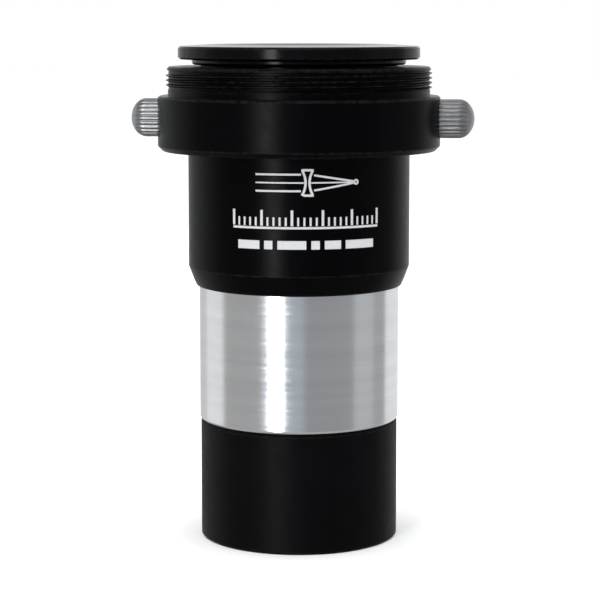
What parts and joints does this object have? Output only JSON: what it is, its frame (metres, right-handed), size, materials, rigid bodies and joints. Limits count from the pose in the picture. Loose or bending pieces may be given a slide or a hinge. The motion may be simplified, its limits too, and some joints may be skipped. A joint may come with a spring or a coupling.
{
  "type": "barlow lens",
  "caption": "Barlow lens with a 1.25 inch nosepiece, thumbscrew eyepiece socket, M42 camera thread, unscrewing lens cell and dust cap.",
  "frame": {"origin": "on the optical axis at the bottom face of the lens cell, where the lens stands", "axes": "+Z along the optical axis towards the eyepiece, +X along the right thumbscrew"},
  "size_m": [0.0545, 0.0446, 0.0781],
  "materials": {
    "black_anodised": "black anodised, fine turned surface, semi-gloss",
    "bright_metal": "bright turned, fine lines round the axis",
    "matt_black": "matt black anodised",
    "satin_nickel": "satin grey nickel",
    "steel": "machined",
    "brass": "bright turned",
    "cap_plastic": "gloss moulded",
    "coated_glass": "polished, anti-reflection coated"
  },
  "bodies": {
    "cell": {"lens_cell": "matt_black", "front_lens_element": "coated_glass", "rear_lens_element": "coated_glass", "lens_spacer_ring": "matt_black", "retaining_ring": "matt_black"},
    "baffle": {"baffle_ring": "matt_black"},
    "barrel": {"eyepiece_holder": "black_anodised", "brass_clamp_ring": "brass", "main_barrel": "black_anodised", "nosepiece_sleeve": "bright_metal"},
    "cap": {"dust_cap": "cap_plastic"},
    "right_screw": {"right_thumbscrew_stud": "steel"},
    "right_knob": {"right_thumbscrew_knob": "satin_nickel"},
    "left_screw": {"left_thumbscrew_stud": "steel"},
    "left_knob": {"left_thumbscrew_knob": "satin_nickel"}
  },
  "joints": [
    {"name": "barrel_travel", "type": "slide", "parent": "cell", "child": "baffle", "axis": [0, 0, 1], "range_m": [0, 0.0042]},
    {"name": "barrel_turn", "type": "hinge", "parent": "baffle", "child": "barrel", "pos_m": [0, 0, 0], "axis": [0, 0, 1], "range_deg": [0, 2520]},
    {"name": "cap_pull", "type": "slide", "parent": "barrel", "child": "cap", "axis": [0, 0, 1], "range_m": [0, 0.03]},
    {"name": "right_screw_travel", "type": "slide", "parent": "barrel", "child": "right_screw", "axis": [1, 0, 0], "range_m": [-0.0009, 0.0026]},
    {"name": "right_knob_turn", "type": "hinge", "parent": "right_screw", "child": "right_knob", "pos_m": [0, 0, 0.0668], "axis": [1, 0, 0], "range_deg": [-648, 1872]},
    {"name": "left_screw_travel", "type": "slide", "parent": "barrel", "child": "left_screw", "axis": [-1, 0, 0], "range_m": [0, 0.0035]},
    {"name": "left_knob_turn", "type": "hinge", "parent": "left_screw", "child": "left_knob", "pos_m": [0, 0, 0.0668], "axis": [-1, 0, 0], "range_deg": [0, 2520]}
  ],
  "couplings": [
    {"joint": "barrel_turn", "follows": "barrel_travel", "rad_per_m": 10472},
    {"joint": "right_knob_turn", "follows": "right_screw_travel", "rad_per_m": 12566},
    {"joint": "left_knob_turn", "follows": "left_screw_travel", "rad_per_m": 12566}
  ]
}
